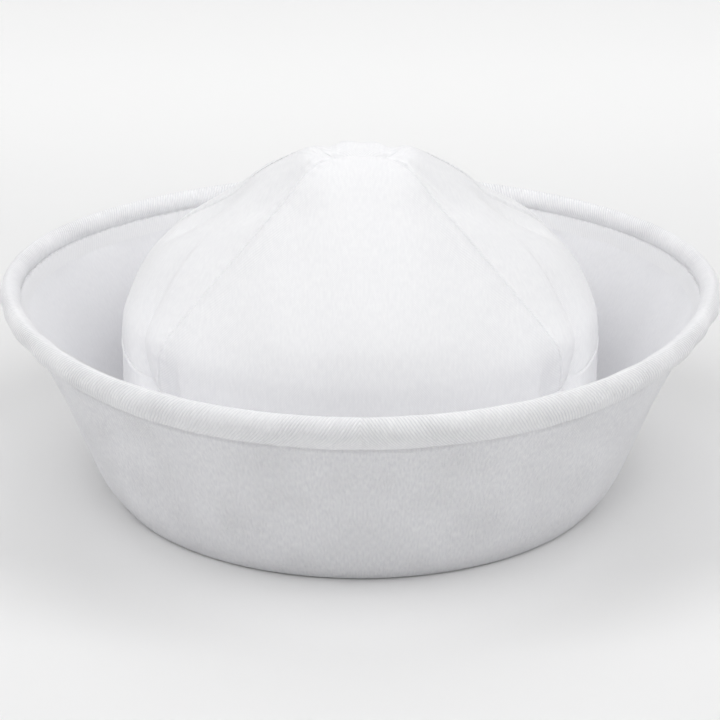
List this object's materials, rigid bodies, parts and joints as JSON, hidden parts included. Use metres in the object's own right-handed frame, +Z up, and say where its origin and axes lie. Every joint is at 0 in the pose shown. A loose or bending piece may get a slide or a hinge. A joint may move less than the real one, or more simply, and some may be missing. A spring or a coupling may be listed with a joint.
{
  "type": "sailor cap",
  "caption": "Soft cotton cap with a gored, domed crown on an upright band and a flared, turned-up brim with a stuffed roll at its rim.",
  "frame": {"origin": "middle of the base ring, on the surface that the cap stands on", "axes": "+Z up through the crown, -Y out of the cap's front, +X to the right as seen from the front"},
  "size_m": [0.2826, 0.2762, 0.1396],
  "materials": {
    "crown_cotton": "plain white cotton twill",
    "brim_cotton": "plain white cotton twill, sewn double"
  },
  "bodies": {
    "root": {"crown_front_gore": "crown_cotton", "crown_right_gore": "crown_cotton", "crown_back_gore": "crown_cotton", "crown_left_gore": "crown_cotton", "crown_band": "crown_cotton", "brim_cuff": "brim_cotton", "rim_roll": "brim_cotton"}
  },
  "joints": []
}
